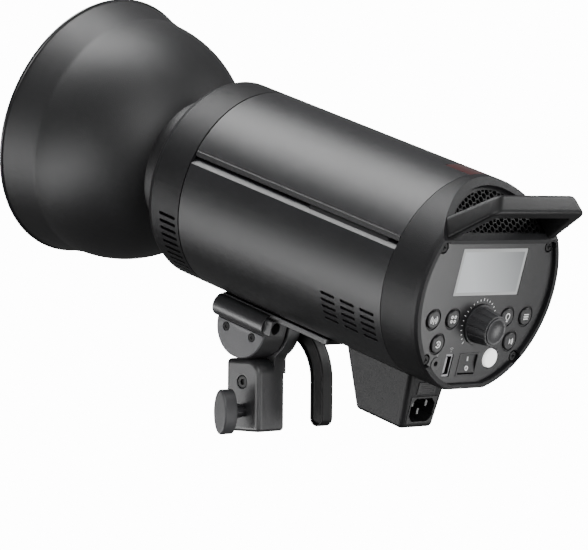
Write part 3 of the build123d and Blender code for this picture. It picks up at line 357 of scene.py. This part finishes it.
# long edges: height off the slope, extra lean in degrees, half width at the foot and at the bend
LOW_EDGE = (1.2, 8.0, 57.4, 48.5)
HIGH_EDGE = (16.6, 4.0, 51.6, 41.6)
# rounding of the low outer, high outer, high inner and low inner edge
EDGE_ROUND = (3.2, 3.2, 1.6, 1.6)
ROUND_STEPS = 5


def rounded(before, corner, after, radius, steps):
    """Points of the arc that rounds a corner of a flat outline."""
    a = (Vector(before) - Vector(corner)).normalized()
    b = (Vector(after) - Vector(corner)).normalized()
    half = a.angle(b) / 2
    centre = Vector(corner) + (a + b).normalized() * radius / math.sin(half)
    start = Vector(corner) + a * radius / math.tan(half) - centre
    end = Vector(corner) + b * radius / math.tan(half) - centre
    turn = start.angle_signed(end)
    points = []
    for i in range(steps + 1):
        t = -turn * i / steps
        points.append(centre + Vector((start.x * math.cos(t) - start.y * math.sin(t),
                                       start.x * math.sin(t) + start.y * math.cos(t))))
    return points


def handle_line(height, rise, root, corner, reach, radius):
    """One long edge of the handle, as points in the head's frame."""
    foot, knee = Vector((root, 0)), Vector((corner, reach))
    foot2, knee2 = Vector((-root, 0)), Vector((-corner, reach))
    flat = [foot.lerp(knee, k / 3) for k in (0, 1)]
    flat += rounded(foot, knee, knee2, radius, BEND_STEPS)
    flat += rounded(knee, knee2, foot2, radius, BEND_STEPS)
    flat += [foot2.lerp(knee2, k / 3) for k in (1, 0)]
    lean, slope = math.radians(SLOPE + rise), math.radians(SLOPE)
    base = Vector((0, -math.sin(slope) * height, ROOT_Z + math.cos(slope) * height))
    return [base + Vector((q.x, q.y * math.cos(lean), q.y * math.sin(lean))) for q in flat]


def handle_section(bm, corners):
    """Closed ring of vertices: the four-sided section with its corners rounded."""
    ring = []
    for i, corner in enumerate(corners):
        before, after = corners[i - 1], corners[(i + 1) % len(corners)]
        p0 = corner + (before - corner).normalized() * EDGE_ROUND[i]
        p1 = corner + (after - corner).normalized() * EDGE_ROUND[i]
        for k in range(ROUND_STEPS + 1):
            t = k / ROUND_STEPS
            ring.append(bm.verts.new(HEAD @ (p0 * (1 - t) ** 2 + corner * 2 * t * (1 - t) + p1 * t * t)))
    return ring


long_edges = []
for edge, inside in ((LOW_EDGE, False), (HIGH_EDGE, False), (HIGH_EDGE, True), (LOW_EDGE, True)):
    height, rise, root, corner = edge
    cut = GRIP_T if inside else 0
    bend = BEND_IN if inside else BEND_OUT
    long_edges.append(handle_line(height, rise, root - cut, corner - cut, REACH - cut, bend))
bm = bmesh.new()
sections = [handle_section(bm, corners) for corners in zip(*long_edges)]
for one, two in zip(sections, sections[1:]):
    for i in range(len(one)):
        j = (i + 1) % len(one)
        bm.faces.new((one[i], one[j], two[j], two[i]))
bm.faces.new(sections[0])
bm.faces.new(sections[-1][::-1])
new_piece("handle_grip", bm, "head", [MATS["handle_plastic"]], ["carry_handle"], 50)

# ------------------------------------------------------------------ marks on the panel
MARK_THICK = 0.06                        # how far a printed mark stands out
MARK_SINK = 0.03                         # how far it goes in
FACE = -2.6                              # y of the panel's face
CAP = -1.7                               # y of the button caps
WHOLE = (0, 360)                         # degrees of a full ring


def plate(bm, corners, y, thick=MARK_THICK):
    """Thin plate with the given outline, its face at y + thick."""
    low = [bm.verts.new(HEAD @ Vector((x, y - MARK_SINK, z))) for x, z in corners]
    high = [bm.verts.new(HEAD @ Vector((x, y + thick, z))) for x, z in corners]
    bm.faces.new(high)
    bm.faces.new(low[::-1])
    count = len(corners)
    for i in range(count):
        j = (i + 1) % count
        bm.faces.new((low[i], low[j], high[j], high[i]))


def flat_ring(bm, cx, cz, r0, r1, y, span, steps, thick=MARK_THICK):
    """Part of a flat ring on the panel, square to the barrel's axis, over a span of degrees."""
    first, last = span
    for i in range(steps):
        a, b = (math.radians(first + (last - first) * k / steps) for k in (i, i + 1))
        corners = ((r0, a), (r1, a), (r1, b), (r0, b))
        plate(bm, [(cx + r * math.cos(t), cz + r * math.sin(t)) for r, t in corners], y, thick)


def bar(bm, x0, z0, x1, z1, width, y, thick=MARK_THICK):
    """Thin straight mark from one point to another."""
    along = Vector((x1 - x0, z1 - z0)).normalized()
    side = Vector((-along.y, along.x)) * width / 2
    corners = [(x0 + side.x, z0 + side.y), (x1 + side.x, z1 + side.y),
               (x1 - side.x, z1 - side.y), (x0 - side.x, z0 - side.y)]
    plate(bm, corners, y, thick)


# ticks round the dial, every sixth one longer
DIAL = (0.0, -23.2)
TICKS, FIRST_TICK, TICK_STEP = 25, 228, 11.5
TICK_R, TICK_END, LONG_TICK_END, TICK_W = 16.1, 17.3, 17.9, 0.5
bm = bmesh.new()
for k in range(TICKS):
    a = math.radians(FIRST_TICK - TICK_STEP * k)
    end = LONG_TICK_END if k % 6 == 0 else TICK_END
    bar(bm, DIAL[0] + TICK_R * math.cos(a), DIAL[1] + TICK_R * math.sin(a),
        DIAL[0] + end * math.cos(a), DIAL[1] + end * math.sin(a), TICK_W, FACE)
new_piece("dial_marks", bm, "head", [MATS["print_white"]])


# one generic symbol for each button, drawn about the button's centre
def wireless_symbol(bm, x, z):
    for r in (1.4, 2.8):
        flat_ring(bm, x, z, r, r + 0.7, CAP, (-48, 48), 8)
        flat_ring(bm, x, z, r, r + 0.7, CAP, (132, 228), 8)
    bar(bm, x, z - 3.0, x, z + 0.5, 0.8, CAP)


def group_symbol(bm, x, z):
    apart, up = 1.15 * 1.4, 1.15 * 1.3
    for dx, dz in ((-apart, up), (apart, up), (-apart, -up), (apart, -up)):
        flat_ring(bm, x + dx, z + dz, 0.5, 1.15, CAP, WHOLE, 12)


def slave_symbol(bm, x, z):
    flat_ring(bm, x, z, 1.7, 2.5, CAP, (30, 330), 16)
    flat_ring(bm, x, z, 0.05, 0.8, CAP, WHOLE, 10)


def lamp_symbol(bm, x, z):
    flat_ring(bm, x, z + 0.7, 1.6, 2.3, CAP, (-60, 240), 14)
    for half, down in ((1.1, 1.7), (0.8, 2.8)):
        bar(bm, x - half, z - down, x + half, z - down, 0.6, CAP)


def function_symbol(bm, x, z):
    for dz in (-1.6, 0, 1.6):
        bar(bm, x - 2.4, z + dz, x + 2.4, z + dz, 0.7, CAP)


def sound_symbol(bm, x, z):
    plate(bm, [(x - 0.2, z - 0.8), (x - 0.2, z + 0.8), (x + 1.0, z + 2.0), (x + 1.0, z - 2.0)], CAP)
    for r in (2.0, 3.0):
        flat_ring(bm, x + 0.6, z, r, r + 0.6, CAP, (140, 220), 6)


BUTTONS = {
    "wireless_button": (48.2, -19.0, wireless_symbol),
    "group_button": (28.4, -19.0, group_symbol),
    "slave_button": (38.0, -36.0, slave_symbol),
    "lamp_button": (-28.4, -19.0, lamp_symbol),
    "function_button": (-48.2, -19.0, function_symbol),
    "sound_button": (-37.5, -36.0, sound_symbol),
}
for name, (x, z, symbol) in BUTTONS.items():
    bm = bmesh.new()
    symbol(bm, x, z)
    new_piece(name + "_mark", bm, name, [MATS["print_white"]])

# painted shade: dark flat rings that the buttons sink into, standing in for the shade in the gaps round them
TEST_BUTTON = (-21.3, -47.4)
SEAT_R, TEST_SEAT_R, SEAT_END = 6.3, 6.7, 7.4
SEAT_Y = FACE - 0.7
bm = bmesh.new()
for x, z, symbol in BUTTONS.values():
    flat_ring(bm, x, z, SEAT_R, SEAT_END, SEAT_Y, WHOLE, 36)
flat_ring(bm, *TEST_BUTTON, TEST_SEAT_R, SEAT_END, SEAT_Y, WHOLE, 36)
new_piece("button_seats", bm, "head", [MATS["shade_black"]])

# the pale screen, smaller than the display's glass, so that a dark border is left round it
SCREEN_HALF, SCREEN_LOW, SCREEN_HIGH = 31.2, -1.2, 26.4
SCREEN_Y, SCREEN_THICK = -2.97, 0.05
bm = bmesh.new()
plate(bm, [(-SCREEN_HALF, SCREEN_LOW), (SCREEN_HALF, SCREEN_LOW),
           (SCREEN_HALF, SCREEN_HIGH), (-SCREEN_HALF, SCREEN_HIGH)], SCREEN_Y, SCREEN_THICK)
new_piece("display_screen", bm, "head", [MATS["screen_face"]])

# on and off symbols, drawn flat on the panel and then laid on the tilted rocker
ROCKER_X, ROCKER_Y, ROCKER_Z = 1.0, -7.5, -51.2
ROCKER_TILT = 7                          # degrees
ROCKER_FACE = 4.15                       # from the rocker's pivot out to its face
SYMBOL_THICK = 0.45
ON_ROCKER = (
    HEAD
    @ Matrix.Translation((ROCKER_X, ROCKER_Y, ROCKER_Z))
    @ Matrix.Rotation(math.radians(ROCKER_TILT), 4, "X")
)


def rocker_mark(name, bm):
    """Lay a flat symbol on the rocker's face and make it a piece."""
    for v in bm.verts:
        flat = HEAD.inverted() @ v.co
        v.co = ON_ROCKER @ (flat - Vector((ROCKER_X, 0, ROCKER_Z)) + Vector((0, ROCKER_FACE, 0)))
    new_piece(name, bm, "rocker", [MATS["print_white"]])


bm = bmesh.new()
bar(bm, ROCKER_X, ROCKER_Z + 1.8, ROCKER_X, ROCKER_Z + 4.6, 0.9, 0, SYMBOL_THICK)
rocker_mark("rocker_mark_on", bm)
bm = bmesh.new()
flat_ring(bm, ROCKER_X, ROCKER_Z - 3.2, 1.0, 1.7, 0, WHOLE, 18, SYMBOL_THICK)
rocker_mark("rocker_mark_off", bm)

# small signs over the USB socket and the sync jack
USB_SIGN = (21.4, -41.6)
JACK_SIGN = (34.7, -43.9)
bm = bmesh.new()
for r in (1.2, 2.4):
    flat_ring(bm, *USB_SIGN, r, r + 0.4, FACE, (50, 130), 6)
flat_ring(bm, *USB_SIGN, 0.05, 0.5, FACE, WHOLE, 8)
flat_ring(bm, *JACK_SIGN, 0.5, 0.8, FACE, WHOLE, 10)
new_piece("socket_marks", bm, "head", [MATS["print_dim"]])

# ------------------------------------------------------------------ camera
CAMERA_AT = (1.7427, 1.585, 0.1685)
CAMERA_FORWARD = (-0.7469, -0.6644, -0.0255)
CAMERA_RIGHT = (-0.6648, 0.747, 0.009)
CAMERA_LENS, CAMERA_SENSOR = 207.9, 36   # millimetres

scene = bpy.context.scene
cam = bpy.data.objects.new("camera", bpy.data.cameras.new("camera"))
scene.collection.objects.link(cam)
scene.camera = cam
forward = Vector(CAMERA_FORWARD).normalized()
right = Vector(CAMERA_RIGHT)
right = (right - forward * right.dot(forward)).normalized()
upward = right.cross(forward)
turned = Matrix((right, upward, -forward)).transposed().to_4x4()
cam.matrix_world = Matrix.Translation(CAMERA_AT) @ turned
cam.data.lens = CAMERA_LENS
cam.data.sensor_width = CAMERA_SENSOR
cam.data.clip_start, cam.data.clip_end = 0.05, 50

# ------------------------------------------------------------------ floor, backdrop and light
FLOOR_SIZE, FLOOR_Z = 2.8, -0.32         # metres
BACKDROP_R = 6.0                         # metres
WORLD_LIGHT = 0.16
BACKDROP_GLOW = 14.0

bpy.ops.mesh.primitive_plane_add(size=FLOOR_SIZE, location=(0, 0, FLOOR_Z))
floor = bpy.context.object
floor.name = "floor"
paint(floor, material("floor_pale", (0.86, 0.86, 0.86), 0.7, bump=0.02, vary=0.01, mottle=2))
floor.visible_diffuse = False
floor.visible_glossy = False

world = bpy.data.worlds.new("studio")
scene.world = world
world.use_nodes = True
world.node_tree.nodes["Background"].inputs["Color"].default_value = (1, 1, 1, 1)
world.node_tree.nodes["Background"].inputs["Strength"].default_value = WORLD_LIGHT


def glow(name, strength):
    """White material that only gives light."""
    mat = bpy.data.materials.new(name)
    mat.use_nodes = True
    nodes = mat.node_tree.nodes
    nodes.clear()
    out = nodes.new("ShaderNodeOutputMaterial")
    emission = nodes.new("ShaderNodeEmission")
    emission.inputs["Color"].default_value = (1, 1, 1, 1)
    emission.inputs["Strength"].default_value = strength
    mat.node_tree.links.new(emission.outputs[0], out.inputs[0])
    return mat


# white all round: a shell that only the camera sees, so it lights nothing
bpy.ops.mesh.primitive_uv_sphere_add(segments=48, ring_count=24, radius=BACKDROP_R)
backdrop = bpy.context.object
backdrop.name = "backdrop"
paint(backdrop, glow("backdrop_white", BACKDROP_GLOW))
for ray in ("visible_diffuse", "visible_glossy", "visible_transmission", "visible_shadow"):
    setattr(backdrop, ray, False)

MIDDLE = (0, 0.06, 0.15)                 # what the lamps face, unless they say otherwise


def softbox(name, direction, distance, width, height, power, target=MIDDLE):
    """Area light that lies in a direction from its target and faces it; metres and watts."""
    lamp = bpy.data.lights.new(name, "AREA")
    lamp.shape = "RECTANGLE"
    lamp.size, lamp.size_y, lamp.energy = width, height, power
    obj = bpy.data.objects.new(name, lamp)
    scene.collection.objects.link(obj)
    at = Vector(target) + Vector(direction).normalized() * distance
    obj.location = at
    obj.rotation_euler = (Vector(target) - at).to_track_quat("-Z", "Y").to_euler()


softbox("overhead", (0.06, -0.26, 0.94), 1.4, 0.46, 1.5, 37)
softbox("left_low", (0.80, -0.38, -0.36), 1.5, 2.0, 0.65, 32)
softbox("right", (-0.747, 0.58, -0.10), 1.3, 0.5, 1.2, 1.2)
softbox("fill", (0.42, 0.86, 0.28), 1.6, 0.9, 0.9, 20)
softbox("right_high", (-0.75, 0.54, 0.42), 0.8, 0.3, 0.3, 1.9)
softbox("panel_card", (-0.62, 0.66, -0.42), 0.5, 0.16, 0.24, 1.0, (0.05, 0.2, 0.10))
